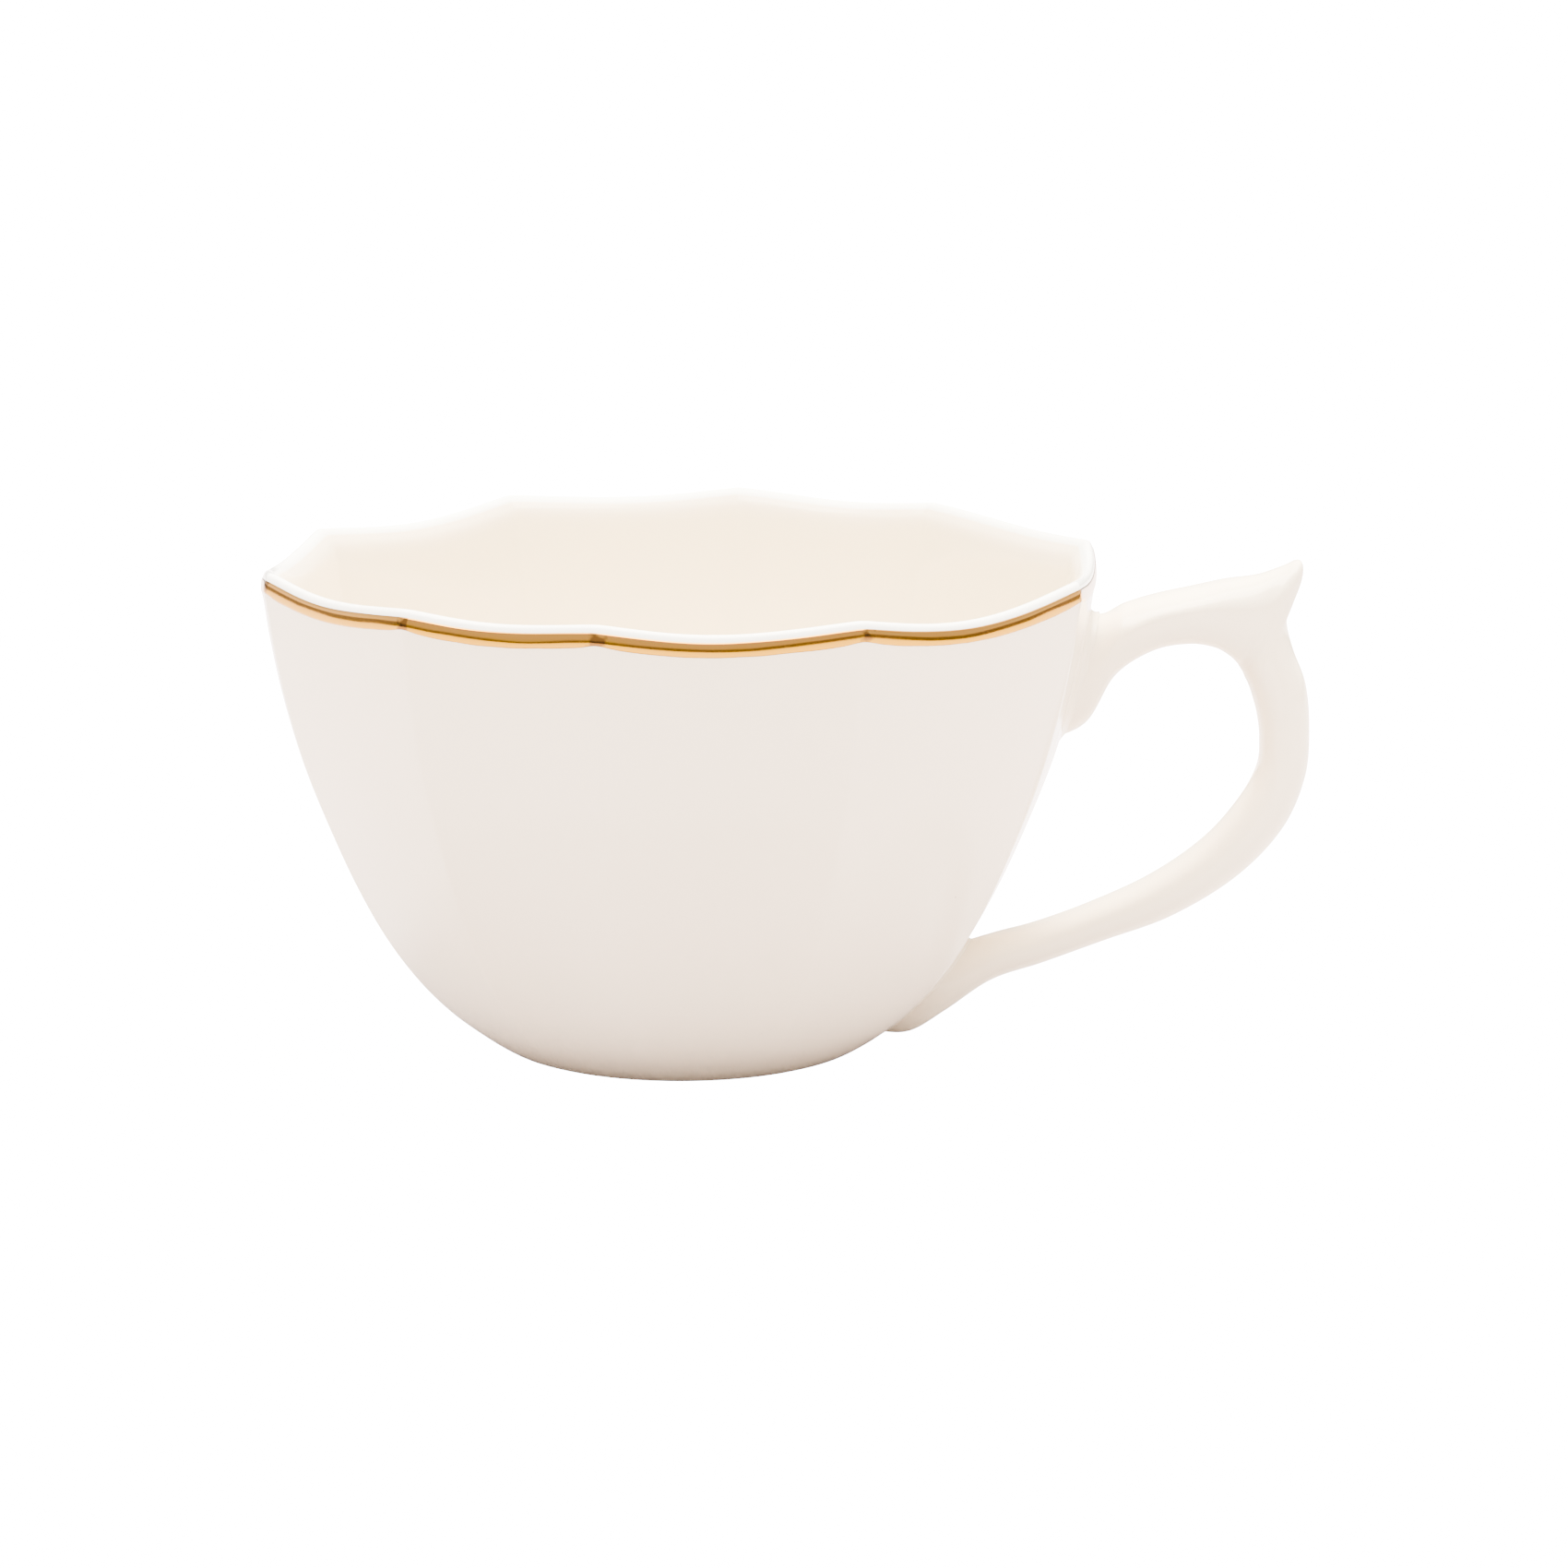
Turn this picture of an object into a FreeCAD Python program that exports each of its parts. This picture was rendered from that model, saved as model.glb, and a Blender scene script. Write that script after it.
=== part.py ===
import FreeCAD, Part
import math
import os

# A ten-ridged porcelain teacup: bowl, strap handle with a thumb spur, the two
# slip joints that hold the handle, and the gold line under the lip.
# Millimetres, +Z up. Origin: on the cup's axis, on the surface it stands on.
# The handle points along +X.

os.makedirs("parts", exist_ok=True)
doc = FreeCAD.newDocument("teacup")
V = FreeCAD.Vector

# ------------------------------------------------------------ driving sizes
sizes = [
    ("rim_height", 57.4, "height of the ridges at the top of the gold line"),
    ("rim_radius", 50.0, "reach of an average ridge at the lip"),
    ("lip_rise", 0.75, "height of the rounded lip above the gold line"),
    ("lip_width", 1.9, "thickness of the wall where the lip's rounding begins inside"),
    ("lean", 0.35, "how far the rim's centre lies nearer to the handle than the foot's"),
    ("gold_height", 1.75, "height of the gold line"),
    ("gold_skin", 0.12, "thickness given to the gilding"),
    ("joint_skin", 0.5, "thickness of the slip between cup and handle"),
    ("joint_bead", 0.45, "slip standing out round the handle's feet"),
    ("foot_inner", 18.4, "inner radius of the foot where it stands"),
    ("foot_roof", 16.8, "radius at the top of the hollow under the cup"),
    ("foot_hollow", 1.7, "depth of the hollow under the cup"),
    ("strap_width", 9.4, "width of the handle's upper arm"),
    ("bend_width", 8.2, "width of the handle at its outer bend"),
    ("lower_width", 7.6, "width of the handle's lower arm"),
]
sheet = doc.addObject("Spreadsheet::Sheet", "sizes")
for row, (name, value, note) in enumerate(sizes, start=1):
    sheet.set("A%d" % row, name)
    sheet.set("B%d" % row, str(value))
    sheet.set("C%d" % row, note)
    sheet.setAlias("B%d" % row, name)

# Ridges going round from the handle: azimuth in degrees, reach at the lip, its
# height there above or below the rim's, and then, on the way to the next ridge,
# how far the rim dips and the wall falls back. They were spaced by hand.
ridges = [
    (12.5, 49.4, -0.6, 0.7, 1.6), (52.5, 49.9, -0.75, 0.7, 1.6), (83.0, 50.3, -0.5, 0.8, 1.6),
    (117.0, 50.1, -0.65, 1.55, 1.6), (154.4, 49.7, -1.0, 1.7, 1.6), (198.7, 50.2, 0.0, 1.0, 1.6),
    (232.2, 49.7, 0.0, 0.8, 1.6), (259.6, 49.6, 0.0, 1.2, 1.6), (293.7, 50.6, 0.0, 1.7, 1.6),
    (334.2, 50.2, 0.0, 1.0, 2.1),
]
for row, ridge in enumerate(ridges, start=1):
    for column, label, value in zip("EFGHI", ("azimuth", "reach", "rise", "dip", "fall"), ridge):
        sheet.set("%s%d" % (column, row), str(value))
        sheet.setAlias("%s%d" % (column, row), "ridge_%s_%s" % (label, "abcdefghij"[row - 1]))
doc.recompute()

rim_height = float(sheet.get("rim_height"))
rim_radius = float(sheet.get("rim_radius"))
lip_rise = float(sheet.get("lip_rise"))
lean = float(sheet.get("lean"))
gold_height = float(sheet.get("gold_height"))
gold_skin = float(sheet.get("gold_skin"))
joint_skin = float(sheet.get("joint_skin"))
joint_bead = float(sheet.get("joint_bead"))
strap_width = float(sheet.get("strap_width"))
bend_width = float(sheet.get("bend_width"))
lower_width = float(sheet.get("lower_width"))
lip_width = float(sheet.get("lip_width"))

# Wall section through a ridge, (radius, height), foot to lip, for a cup of
# 50 mm reach and 57.4 mm height; both sections are scaled to the sizes above.
outer_stations = [
    (20.6, 0.0), (21.6, 0.4), (24.1, 2.0), (28.0, 5.0), (31.9, 9.0), (35.6, 14.0), (38.95, 20.0),
    (42.1, 27.0), (45.2, 35.0), (47.5, 43.0), (48.95, 50.0), (49.62, 54.4), (49.84, 55.6),
    (49.88, 56.1), (49.86, 56.5), (49.8, 56.95), (49.69, 57.4),
]
# The inside of the same wall, from the flat floor up to the lip.
inner_stations = [
    (15.0, 5.0), (20.0, 5.25), (24.6, 6.9), (29.6, 11.3), (33.1, 16.0), (36.2, 21.5),
    (39.4, 28.3), (42.5, 36.0), (44.6, 43.7), (46.0, 50.4), (46.75, 54.2), (47.3, 56.2),
    (50.0 - lip_width, 57.5),
]


def scaled(stations):
    return [(r * rim_radius / 50.0, z * rim_height / 57.4) for r, z in stations]


def spline(stations):
    """Curve through (radius, height) stations, as a function of 0..1."""
    curve = Part.BSplineCurve()
    curve.interpolate([V(r, 0, z) for r, z in scaled(stations)])
    first, last = curve.FirstParameter, curve.LastParameter

    def at(part):
        point = curve.value(first + (last - first) * part)
        return point.x, point.z
    return at


outer_section = spline(outer_stations)
inner_section = spline(inner_stations)


def blend(value):
    value = max(0.0, min(1.0, value))
    return value * value * (3.0 - 2.0 * value)


def ridge_pair(index):
    here, after = ridges[index], ridges[(index + 1) % len(ridges)]
    return here, after, (after[0] - here[0]) % 360.0


# The flutes rise out of the wall between these two heights, and the rim's wave
# grows from `wave_from` upward. `flute_skew` draws the deepest line of a flute
# away from its middle; the powers say how sharp flute and wave are at a ridge.
flute_from, flute_full = 1.0, 14.0
wave_from, wave_growth = 8.0, 1.5
flute_skew, flute_power, dip_power = 0.18, 0.79, 1.09


def wall_point(index, across, radius, height, grow=0.0):
    """Bend a point of the ridge section to its place in lobe `index`."""
    here, after, span = ridge_pair(index)
    wave = abs(math.sin(math.pi * (across + flute_skew * across * (1.0 - across))))
    if across in (0.0, 1.0):
        wave = 0.0
    reach = here[1] + (after[1] - here[1]) * blend(across)
    upward = max(0.0, (height - wave_from) / (rim_height - wave_from))
    bend = blend((height - flute_from) / (flute_full - flute_from))
    fall = here[4] / rim_radius * wave ** flute_power * bend
    scale = 1.0 + (reach / rim_radius - 1.0) * upward - fall
    radius = radius * scale + grow
    shift = lean * height / rim_height
    rise = here[2] + (after[2] - here[2]) * blend(across)
    height = height + (rise - here[3] * wave ** dip_power) * upward ** wave_growth
    azimuth = math.radians(here[0] + span * across)
    return V(radius * math.cos(azimuth) + shift, radius * math.sin(azimuth), height)


def greville(count, degree):
    """Where the poles of an evenly knotted clamped spline sit, 0..1."""
    spans = count - degree
    knots = [0.0] * degree + [i / spans for i in range(spans + 1)] + [1.0] * degree
    return [sum(knots[i + 1:i + 1 + degree]) / degree for i in range(count)]


def patch(rows, degree_up=3):
    """B-spline face over a net of poles; rows run up, columns run round."""
    def knotting(count, degree):
        spans = count - degree
        values = [i / spans for i in range(spans + 1)]
        repeats = [degree + 1] + [1] * (spans - 1) + [degree + 1]
        return values, repeats
    up_values, up_repeats = knotting(len(rows), degree_up)
    round_values, round_repeats = knotting(len(rows[0]), 3)
    surface = Part.BSplineSurface()
    surface.buildFromPolesMultsKnots(
        rows, up_repeats, round_repeats, up_values, round_values, False, False, degree_up, 3)
    return surface.toShape()


ACROSS = greville(10, 3)
lobes = range(len(ridges))


def row(index, radius, height, grow=0.0):
    return [wall_point(index, across, radius, height, grow) for across in ACROSS]


def section_rows(index, section, start, stop, count, grow=0.0):
    return [row(index, *section(start + (stop - start) * part), grow) for part in greville(count, 3)]


def part_at_height(section, height):
    low, high = 0.0, 1.0
    for _ in range(50):
        middle = 0.5 * (low + high)
        if section(middle)[1] < height:
            low = middle
        else:
            high = middle
    return 0.5 * (low + high)


gold_start = part_at_height(outer_section, rim_height - gold_height)


def solid_from(faces):
    shell = Part.makeCompound(faces)
    shell.sewShape(1e-5)
    shell = shell.Shells[0] if shell.Shells else Part.Shell(faces)
    solid = Part.Solid(shell)
    if solid.Volume < 0:
        solid.reverse()
    return solid


def disc(rows_per_lobe):
    """Flat face closed by the given pole rows, one for each lobe."""
    edges = []
    for poles in rows_per_lobe:
        spans = len(poles) - 3
        curve = Part.BSplineCurve()
        curve.buildFromPolesMultsKnots(
            poles, [4] + [1] * (spans - 1) + [4], [i / spans for i in range(spans + 1)], False, 3)
        edges.append(curve.toShape())
    return Part.Face(Part.Wire(edges))


def lip_rows(index, grow):
    """Rounded lip, following the wall up on the outside and down the inside."""
    top, floor_top = outer_section(1.0), inner_section(1.0)
    below, inside_below = outer_section(0.99), inner_section(0.99)

    def upward(upper, lower):
        length = math.hypot(upper[0] - lower[0], upper[1] - lower[1])
        return (upper[0] - lower[0]) / length, (upper[1] - lower[1]) / length
    reach = lip_rise * 4.0 / 3.0
    out, into = upward(top, below), upward(floor_top, inside_below)
    rows = [row(index, top[0], top[1], grow)]
    crest = []
    for base, way in ((rows[0], out), (row(index, floor_top[0], floor_top[1]), into)):
        raised = []
        for across, point in zip(ACROSS, base):
            azimuth = math.atan2(point.y, point.x - lean)
            raised.append(point + V(way[0] * math.cos(azimuth), way[0] * math.sin(azimuth), way[1]) * reach)
        crest.append(raised)
    return [rows[0], crest[0], crest[1], row(index, floor_top[0], floor_top[1])]


def cup_blank(grow=0.0):
    """Bowl with its lip and a flat underside; `grow` thickens it outward."""
    faces = []
    for index in lobes:
        faces.append(patch(section_rows(index, outer_section, 0.0, gold_start, 22, grow)))
        faces.append(patch(section_rows(index, outer_section, gold_start, 1.0, 4, grow)))
        faces.append(patch(lip_rows(index, grow)))
        faces.append(patch(section_rows(index, inner_section, 1.0, 0.0, 18)))
    faces.append(disc([row(index, *outer_section(0.0), grow) for index in lobes]))
    faces.append(disc([row(index, *inner_section(0.0)) for index in lobes]))
    return solid_from(faces)


def gold_band():
    """Thin gilding lying on the wall between two heights."""
    faces = []
    for index in lobes:
        inside = section_rows(index, outer_section, gold_start, 1.0, 4)
        outside = section_rows(index, outer_section, gold_start, 1.0, 4, gold_skin)
        faces.append(patch(inside))
        faces.append(patch(outside))
        faces.append(patch([inside[0], outside[0]], 1))
        faces.append(patch([inside[-1], outside[-1]], 1))
    return solid_from(faces)


# ------------------------------------------------------------------- handle
# Each station of the strap: the point on the finger side, the point on the
# outside, both (x, z), the width there, how square the outer face is, and how
# much the section narrows outward. The stations fan out at the top of the bend
# to make the thumb spur. The widths listed are for an upper arm of 9.4 mm, a
# bend of 8.2 mm and a lower arm of 7.6 mm, and follow the sizes in the sheet.
strap_stations = [
    ((41.2, 35.4), (45.2, 50.8), 10.2, 2.3, 0.0),
    ((46.5, 37.7), (48.6, 50.6), 9.6, 2.5, 0.0),
    ((49.9, 43.5), (51.2, 51.9), 9.4, 4.4, 0.0),
    ((54.2, 46.5), (54.4, 52.9), 9.4, 6.4, 0.0),
    ((58.4, 47.35), (58.9, 53.9), 9.4, 7.0, 0.02),
    ((61.4, 46.9), (62.7, 54.75), 9.3, 7.0, 0.06),
    ((63.1, 45.9), (66.5, 55.3), 9.2, 6.2, 0.12),
    ((63.9, 45.1), (69.5, 56.35), 9.1, 5.0, 0.22),
    ((64.2, 44.7), (71.0, 57.0), 9.0, 4.0, 0.27),
    ((64.5, 44.2), (71.65, 56.5), 9.0, 3.4, 0.3),
    ((64.75, 43.8), (71.6, 54.9), 8.9, 3.0, 0.32),
    ((65.0, 43.2), (70.7, 52.4), 8.8, 2.8, 0.26),
    ((65.4, 42.4), (69.9, 50.0), 8.7, 2.6, 0.14),
    ((65.9, 41.0), (70.7, 46.6), 8.5, 2.4, 0.06),
    ((66.5, 38.8), (72.2, 42.6), 8.3, 2.4, 0.0),
    ((66.85, 36.0), (72.75, 37.6), 8.2, 2.4, 0.0),
    ((66.6, 32.6), (72.4, 31.6), 8.2, 2.4, 0.0),
    ((64.6, 28.7), (69.9, 25.4), 8.2, 2.4, 0.0),
    ((60.6, 24.0), (64.6, 19.6), 8.1, 2.4, 0.0),
    ((54.5, 19.6), (57.0, 14.8), 7.9, 2.4, 0.0),
    ((47.4, 16.2), (48.85, 11.75), 7.6, 2.4, 0.0),
    ((41.1, 13.85), (41.7, 9.1), 7.6, 2.4, 0.0),
    ((37.0, 12.75), (35.7, 7.0), 7.8, 2.3, 0.0),
    ((35.0, 12.2), (30.2, 3.2), 8.1, 2.2, 0.0),
    ((33.2, 11.7), (26.0, 0.75), 8.3, 2.2, 0.0),
    ((30.4, 11.3), (21.4, 0.9), 8.4, 2.2, 0.0),
]
bend_begins, lower_arm_begins = 13, 19


def width_share(index):
    if index < bend_begins:
        return strap_width / 9.4
    return bend_width / 8.2 if index < lower_arm_begins else lower_width / 7.6


strap_stations = [
    (near, far, width * width_share(index), square, narrow)
    for index, (near, far, width, square, narrow) in enumerate(strap_stations)]


# Squareness of the finger side (2 is an ellipse), the squareness from which an
# outer face is crowned too, the rise in squareness that crowns it fully, and by
# what share of half the strap's depth its edges then drop.
finger_square = 2.2
crown_from, crown_within, crown_most = 2.4, 3.0, 0.4
section_steps = 32


def strap_row(inner_point, outer_point, width, square, narrow):
    """Section poles: rounded on the finger side; a square outer face is also crowned."""
    start = V(inner_point[0] + lean, 0, inner_point[1])
    end = V(outer_point[0] + lean, 0, outer_point[1])
    centre, half = (start + end) * 0.5, (end - start) * 0.5
    crown = crown_most * blend((square - crown_from) / crown_within)
    poles = []
    for step in range(section_steps):
        turn = 2.0 * math.pi * (step + 0.5) / section_steps
        along, side = math.cos(turn), math.sin(turn)
        power = 2.0 / square if along > 0 else 2.0 / finger_square
        edge = 2.0 / (0.5 * (square + finger_square))
        along = math.copysign(abs(along) ** power, along)
        side = math.copysign(abs(side) ** edge, side)
        along -= crown * side * side * blend(along)
        taper = 1.0 - narrow * blend((along + 1.0) / 2.0)
        poles.append(centre + half * along + V(0, 0.5 * width * side * taper, 0))
    return poles


def smooth_stations(stations, count):
    """Stations respaced along curves that pass through the given ones."""
    steps = [float(i) for i in range(len(stations))]

    def through(points):
        curve = Part.BSplineCurve()
        curve.interpolate(points, Parameters=steps)
        return curve
    inner = through([V(s[0][0], 0, s[0][1]) for s in stations])
    outer = through([V(s[1][0], 0, s[1][1]) for s in stations])
    form = through([V(s[2], s[3], i) for i, s in enumerate(stations)])
    narrowing = through([V(s[4], i, 0) for i, s in enumerate(stations)])
    result = []
    for part in greville(count, 3):
        place = part * steps[-1]
        near, far, size = inner.value(place), outer.value(place), form.value(place)
        narrow = max(0.0, narrowing.value(place).x)
        result.append(((near.x, near.z), (far.x, far.z), size.x, size.y, narrow))
    return result


def swollen(station, bead):
    """The same station with `bead` added all round."""
    (ax, az), (bx, bz), width, square, narrow = station
    length = math.dist((ax, az), (bx, bz))
    dx, dz = (bx - ax) / length * bead, (bz - az) / length * bead
    return (ax - dx, az - dz), (bx + dx, bz + dz), width + 2 * bead, square, narrow


def ring_edge(poles):
    curve = Part.BSplineCurve()
    count = len(poles)
    curve.buildFromPolesMultsKnots(poles, [1] * (count + 1), [float(i) for i in range(count + 1)], True, 3)
    return curve.toShape()


def strap_solid(stations, count):
    rows = [strap_row(*station) for station in smooth_stations(stations, count)]
    spans_up, around = count - 3, len(rows[0])
    surface = Part.BSplineSurface()
    surface.buildFromPolesMultsKnots(
        rows, [4] + [1] * (spans_up - 1) + [4], [1] * (around + 1),
        [i / spans_up for i in range(spans_up + 1)], [float(i) for i in range(around + 1)],
        False, True, 3, 3)
    caps = [Part.Face(Part.Wire(ring_edge(row))) for row in (rows[0], rows[-1])]
    return solid_from([surface.toShape()] + caps)


def add_shape(name, shape):
    item = doc.addObject("Part::Feature", name)
    item.Shape = shape
    return item


blank = add_shape("cup_blank_form", cup_blank())
hollow = doc.addObject("Part::Cone", "foot_hollow_form")
hollow.setExpression("Radius1", "sizes.foot_inner")
hollow.setExpression("Radius2", "sizes.foot_roof")
hollow.setExpression("Height", "sizes.foot_hollow")
cup = doc.addObject("Part::Cut", "cup_body")
cup.Base, cup.Tool = blank, hollow

gold = add_shape("rim_gilding", gold_band())

strap = add_shape("strap_form", strap_solid(strap_stations, 96))
wet_wall = add_shape("joint_wall_form", cup_blank(joint_skin))
handle = doc.addObject("Part::Cut", "handle")
handle.Base, handle.Tool = strap, wet_wall

# Slip joints: where the handle's two feet, a little enlarged, cross the thin
# layer between the cup's wall and the handle.
skin = doc.addObject("Part::Cut", "joint_skin_form")
skin.Base, skin.Tool = wet_wall, blank
for name, stations in (("upper_joint", strap_stations[:4]), ("lower_joint", strap_stations[-5:])):
    foot = add_shape(name + "_form", strap_solid([swollen(s, joint_bead) for s in stations], 20))
    joint = doc.addObject("Part::Common", name)
    joint.Base, joint.Tool = skin, foot

labels = ["cup_body", "handle", "upper_joint", "lower_joint", "rim_gilding"]
for label in labels:
    item = doc.getObject(label)
    item.Label = label
    item.Placement = FreeCAD.Placement(V(0, 0, 0), FreeCAD.Rotation())
doc.recompute()
for item in doc.Objects:
    if {"Invalid", "Error"} & set(item.State):
        raise RuntimeError("%s did not build: %s" % (item.Name, item.State))
    if hasattr(item, "Shape") and (item.Shape.isNull() or not item.Shape.isValid()):
        raise RuntimeError("%s has no valid shape" % item.Name)
for label in labels:
    shape = doc.getObject(label).Shape
    if len(shape.Solids) != 1:
        print("solids in", label, len(shape.Solids))
    box = shape.BoundBox
    print(label, "volume %.1f" % shape.Volume, "x %.2f..%.2f y %.2f..%.2f z %.2f..%.2f" % (
        box.XMin, box.XMax, box.YMin, box.YMax, box.ZMin, box.ZMax))
    shape.exportStep(os.path.join("parts", label + ".step"))
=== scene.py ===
import bpy
import math
from collections import namedtuple
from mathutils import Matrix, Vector, noise


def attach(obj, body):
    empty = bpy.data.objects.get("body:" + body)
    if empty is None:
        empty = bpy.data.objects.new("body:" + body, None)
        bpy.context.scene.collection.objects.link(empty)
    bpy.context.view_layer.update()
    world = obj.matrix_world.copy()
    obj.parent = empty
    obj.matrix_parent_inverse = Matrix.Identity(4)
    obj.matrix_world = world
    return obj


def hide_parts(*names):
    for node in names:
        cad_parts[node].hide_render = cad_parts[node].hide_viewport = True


# A ten-ridged porcelain teacup with a gold line under its lip.
# Shapes are worked out in millimetres and written to the meshes in metres.
# The cup's axis is Z, it stands on Z = 0 and its handle points along +X.

MM = 0.001
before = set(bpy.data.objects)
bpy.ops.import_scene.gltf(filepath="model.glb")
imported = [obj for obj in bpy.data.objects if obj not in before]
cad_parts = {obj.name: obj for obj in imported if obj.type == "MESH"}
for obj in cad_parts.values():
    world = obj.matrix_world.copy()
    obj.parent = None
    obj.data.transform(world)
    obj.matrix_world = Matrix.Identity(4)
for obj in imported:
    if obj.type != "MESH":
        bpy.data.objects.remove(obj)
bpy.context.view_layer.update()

# ---------------------------------------------------------------- cup sizes
RIM_HEIGHT = 57.4        # ridges, at the top of the gold line
RIM_RADIUS = 50.0
RIM_INSET = 0.06         # how far the drawn rim stays inside the solid one
LEAN = 0.35              # the rim's centre lies this much nearer to the handle
LIP_RISE = 0.75
FOOT_INNER, FOOT_HOLLOW = 18.4, 1.7
FLOOR_HEIGHT = 4.98

# Ridges going round from the handle: azimuth, reach at the lip, its height
# there above or below the rim's, and then, on the way to the next ridge, how
# far the rim dips and the wall falls back.
Ridge = namedtuple("Ridge", "azimuth reach rise dip fall")
RIDGES = [Ridge(*numbers) for numbers in (
    (12.5, 49.4, -0.6, 0.7, 1.6), (52.5, 49.9, -0.75, 0.7, 1.6), (83.0, 50.3, -0.5, 0.8, 1.6),
    (117.0, 50.1, -0.65, 1.55, 1.6), (154.4, 49.7, -1.0, 1.7, 1.6), (198.7, 50.2, 0.0, 1.0, 1.6),
    (232.2, 49.7, 0.0, 0.8, 1.6), (259.6, 49.6, 0.0, 1.2, 1.6), (293.7, 50.6, 0.0, 1.7, 1.6),
    (334.2, 50.2, 0.0, 1.0, 2.1),
)]

# Wall section through a ridge, (radius, height): the underside from its middle
# out to the ring that the cup stands on, the outside, the inside, the floor.
UNDERSIDE = [
    (0.5, FOOT_HOLLOW), (8.0, FOOT_HOLLOW), (14.0, FOOT_HOLLOW), (16.0, FOOT_HOLLOW),
    (16.6, FOOT_HOLLOW - 0.08), (17.0, FOOT_HOLLOW - 0.4), (17.9, 0.45), (18.2, 0.12),
    (18.6, 0.0), (19.3, 0.0), (20.0, 0.0),
]
OUTER = [
    (20.6, 0.0), (21.6, 0.4), (24.1, 2.0), (28.0, 5.0), (31.9, 9.0), (35.6, 14.0), (38.95, 20.0),
    (42.1, 27.0), (45.2, 35.0), (47.5, 43.0), (48.95, 50.0), (49.62, 54.4), (49.84, 55.6),
    (49.88, 56.1), (49.86, 56.5), (49.8, 56.95), (49.69, 57.4),
]
INNER = [
    (15.0, 5.0), (20.0, 5.25), (24.6, 6.9), (29.6, 11.3), (33.1, 16.0), (36.2, 21.5),
    (39.4, 28.3), (42.5, 36.0), (44.6, 43.7), (46.0, 50.4), (46.75, 54.2), (47.3, 56.2),
    (48.1, 57.5),
]
FLOOR = [(12.0, 4.99), (8.0, FLOOR_HEIGHT), (4.0, FLOOR_HEIGHT), (0.5, FLOOR_HEIGHT)]

# Where the flutes rise out of the wall and where the rim's wave begins, how far
# a flute's deepest line is off its middle, how sharp both are at a ridge, and
# how much the ridges are then rounded off.
FLUTE_FROM, FLUTE_FULL = 1.0, 14.0
WAVE_FROM, WAVE_GROWTH = 8.0, 1.5
FLUTE_SKEW, FLUTE_POWER, DIP_POWER = 0.18, 0.79, 1.09
RIDGE_SOFTNESS = 0.035


def blend(value):
    value = max(0.0, min(1.0, value))
    return value * value * (3.0 - 2.0 * value)


def mix(low, high, part):
    return low + (high - low) * part


def curve_through(points, count):
    """`count` points on a smooth curve through the given ones, paced by their first two values."""
    spaced = [0.0]
    for here, there in zip(points, points[1:]):
        spaced.append(spaced[-1] + math.sqrt(math.dist(here[:2], there[:2])))
    slopes = []
    for i in range(len(points)):
        low, high = max(i - 1, 0), min(i + 1, len(points) - 1)
        gap = spaced[high] - spaced[low]
        slopes.append([(b - a) / gap for a, b in zip(points[low], points[high])])
    result = []
    span = 0
    for step in range(count):
        place = spaced[-1] * step / (count - 1)
        while span < len(points) - 2 and place > spaced[span + 1]:
            span += 1
        gap = spaced[span + 1] - spaced[span]
        u = (place - spaced[span]) / gap
        u2, u3 = u * u, u * u * u
        result.append(tuple(
            a * (2 * u3 - 3 * u2 + 1) + sa * gap * (u3 - 2 * u2 + u)
            + b * (3 * u2 - 2 * u3) + sb * gap * (u3 - u2)
            for a, b, sa, sb in zip(points[span], points[span + 1], slopes[span], slopes[span + 1])))
    return result


def lobe(azimuth):
    """(ridge before, ridge after, how far across, 0..1) at an azimuth in degrees."""
    for index, here in enumerate(RIDGES):
        after = RIDGES[(index + 1) % len(RIDGES)]
        span = (after.azimuth - here.azimuth) % 360.0
        gone = (azimuth - here.azimuth) % 360.0
        if gone < span:
            return here, after, gone / span
    return RIDGES[-1], RIDGES[0], 0.0


def wave(across):
    """About 0 on the ridges, where it is rounded off, and 1 between them."""
    raw = math.sin(math.pi * (across + FLUTE_SKEW * across * (1.0 - across)))
    return math.sqrt(raw * raw + RIDGE_SOFTNESS * RIDGE_SOFTNESS)


def on_wall(azimuth, radius, height, grow=0.0):
    """Bend a point of the ridge section to its place on the fluted cup."""
    here, after, across = lobe(azimuth)
    level = wave(across)
    reach = mix(here.reach, after.reach, blend(across)) - RIM_INSET
    upward = max(0.0, (height - WAVE_FROM) / (RIM_HEIGHT - WAVE_FROM))
    bend = blend((height - FLUTE_FROM) / (FLUTE_FULL - FLUTE_FROM))
    fall = here.fall / RIM_RADIUS * level ** FLUTE_POWER * bend
    scale = 1.0 + (reach / RIM_RADIUS - 1.0) * upward - fall
    radius = radius * scale + grow
    shift = LEAN * height / RIM_HEIGHT
    rise = mix(here.rise, after.rise, blend(across))
    height = height + (rise - here.dip * level ** DIP_POWER) * upward ** WAVE_GROWTH
    turn = math.radians(azimuth)
    return Vector((radius * math.cos(turn) + shift, radius * math.sin(turn), height))


def new_mesh(name, points, faces, smooth=True):
    mesh = bpy.data.meshes.new(name)
    mesh.from_pydata([tuple(p * MM) for p in points], [], faces)
    mesh.update()
    if smooth:
        mesh.polygons.foreach_set("use_smooth", [True] * len(mesh.polygons))
    item = bpy.data.objects.new(name, mesh)
    bpy.context.scene.collection.objects.link(item)
    return item


def give_attribute(item, name, values):
    """Store one number per point, for the piece's material to read."""
    attribute = item.data.attributes.new(name, "FLOAT", "POINT")
    attribute.data.foreach_set("value", values)


def grid_faces(rows, columns, wrap_rows=False):
    """Faces of a net of points whose columns close round, and whose rows may."""
    faces = []
    for row in range(rows if wrap_rows else rows - 1):
        above = (row + 1) % rows
        for column in range(columns):
            after = (column + 1) % columns
            faces.append((row * columns + column, row * columns + after,
                          above * columns + after, above * columns + column))
    return faces


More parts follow.
